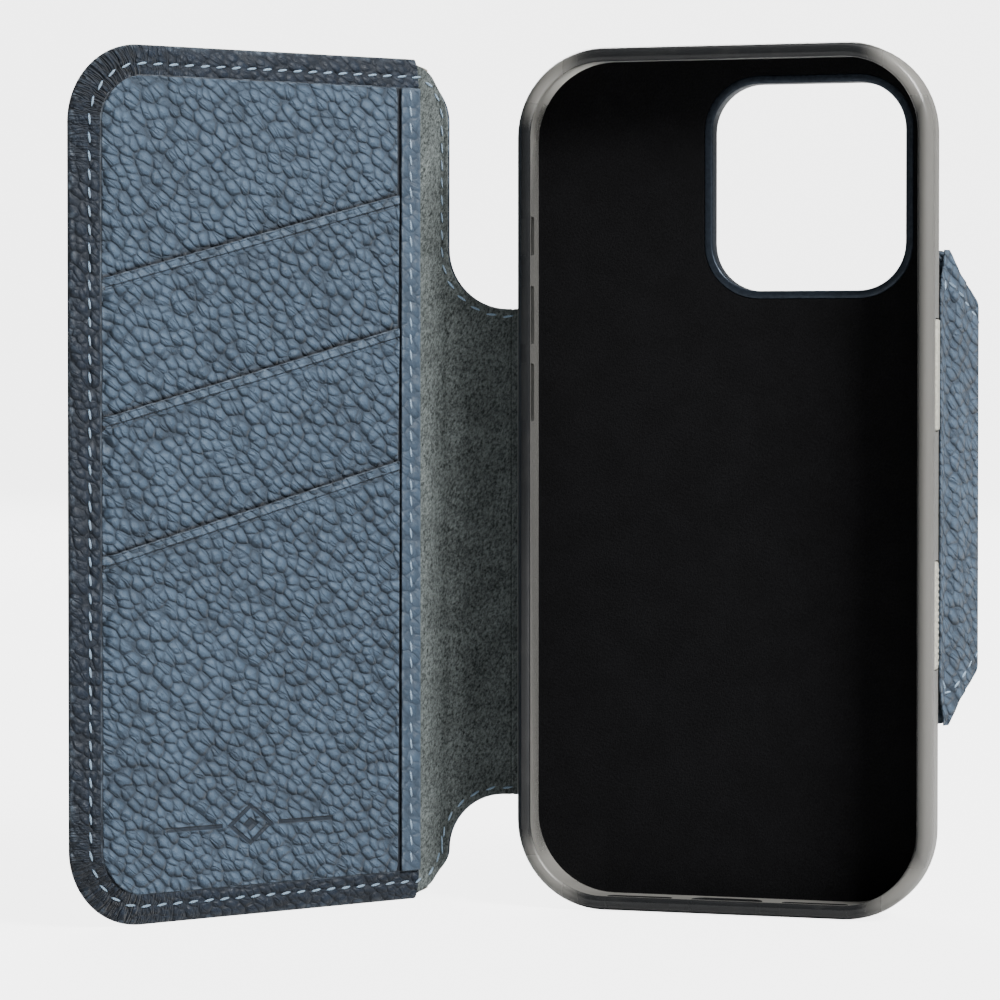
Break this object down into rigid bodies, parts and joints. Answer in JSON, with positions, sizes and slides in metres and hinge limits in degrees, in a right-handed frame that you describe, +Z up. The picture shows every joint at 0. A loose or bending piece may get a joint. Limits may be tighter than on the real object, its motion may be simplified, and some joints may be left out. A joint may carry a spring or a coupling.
{
  "type": "phone wallet case",
  "caption": "Folio phone case: clear bumper tray on a leather back, folding spine, cover with card pockets, and a magnetic strap.",
  "frame": {"origin": "centre of the open case's footprint, on the surface it stands on", "axes": "+X to the right across the tray's open front, +Y from the open front to the back, +Z up"},
  "size_m": [0.1472, 0.1043, 0.1545],
  "materials": {
    "leather": "pebble grain, semi-matte",
    "suede": "napped microfibre suede",
    "thread": "waxed polyester thread",
    "board": "fibreboard",
    "bumper": "satin translucent",
    "liner": "microfibre",
    "bezel": "satin",
    "steel": "nickel plated"
  },
  "bodies": {
    "tray": {"clear_shell": "bumper", "shell_liner": "liner", "camera_bezel": "bezel", "magnet_ring": "steel", "back_board": "board", "back_leather": "leather", "back_stitching": "thread", "strap_anchor": "leather"},
    "side_button": {"side_button": "bumper"},
    "volume_up_button": {"volume_up_button": "bumper"},
    "volume_down_button": {"volume_down_button": "bumper"},
    "action_button": {"action_button": "bumper"},
    "camera_control_pad": {"camera_control_pad": "bumper"},
    "spine": {"spine_leather": "leather", "spine_core": "board", "spine_lining": "suede", "spine_stitching": "thread"},
    "cover": {"cover_leather": "leather", "cover_board": "board", "cover_keeper": "steel", "cover_lining": "suede", "pocket_backing": "leather", "note_pocket_strip": "leather", "pocket_panel_top": "leather", "pocket_panel_upper": "leather", "pocket_panel_middle": "leather", "pocket_panel_lower": "leather", "cover_stitching": "thread", "pocket_stitching": "thread"},
    "strap_root": {"strap_root_leather": "leather", "strap_root_lining": "leather"},
    "strap_wrap": {"strap_wrap_leather": "leather", "strap_wrap_lining": "leather"},
    "tab": {"tab_leather": "leather", "tab_lining": "leather", "tab_stiffener": "board", "tab_magnets": "steel", "tab_stitching": "thread"}
  },
  "joints": [
    {"name": "spine_fold", "type": "hinge", "parent": "tray", "child": "spine", "pos_m": [-0.00827, 0.01036, 0.064], "axis": [0, 0, 1], "range_deg": [-95, 85]},
    {"name": "cover_fold", "type": "hinge", "parent": "spine", "child": "cover", "pos_m": [-0.02441, 0.00895, 0.077], "axis": [0, 0, 1], "range_deg": [-111, 44]},
    {"name": "strap_fold", "type": "hinge", "parent": "tray", "child": "strap_root", "pos_m": [0.07008, 0.01056, 0.076], "axis": [0, 0, -1], "range_deg": [0, 162]},
    {"name": "strap_bend", "type": "hinge", "parent": "strap_root", "child": "strap_wrap", "pos_m": [0.07286, 0.01912, 0.076], "axis": [0, 0, -1], "range_deg": [0, 32]},
    {"name": "tab_fold", "type": "hinge", "parent": "strap_wrap", "child": "tab", "pos_m": [0.07061, 0.02814, 0.076], "axis": [0, 0, -1], "range_deg": [0, 100]},
    {"name": "side_button_press", "type": "slide", "parent": "tray", "child": "side_button", "axis": [-1, 0, 0], "range_m": [0, 0.0004], "stiffness_N_per_m": 400},
    {"name": "camera_control_pad_press", "type": "slide", "parent": "tray", "child": "camera_control_pad", "axis": [-1, 0, 0], "range_m": [0, 0.0004], "stiffness_N_per_m": 400},
    {"name": "volume_up_button_press", "type": "slide", "parent": "tray", "child": "volume_up_button", "axis": [1, 0, 0], "range_m": [0, 0.0004], "stiffness_N_per_m": 400},
    {"name": "volume_down_button_press", "type": "slide", "parent": "tray", "child": "volume_down_button", "axis": [1, 0, 0], "range_m": [0, 0.0004], "stiffness_N_per_m": 400},
    {"name": "action_button_press", "type": "slide", "parent": "tray", "child": "action_button", "axis": [1, 0, 0], "range_m": [0, 0.0004], "stiffness_N_per_m": 400}
  ],
  "couplings": [
    {"joint": "strap_bend", "follows": "strap_fold", "ratio": 0.19753}
  ]
}
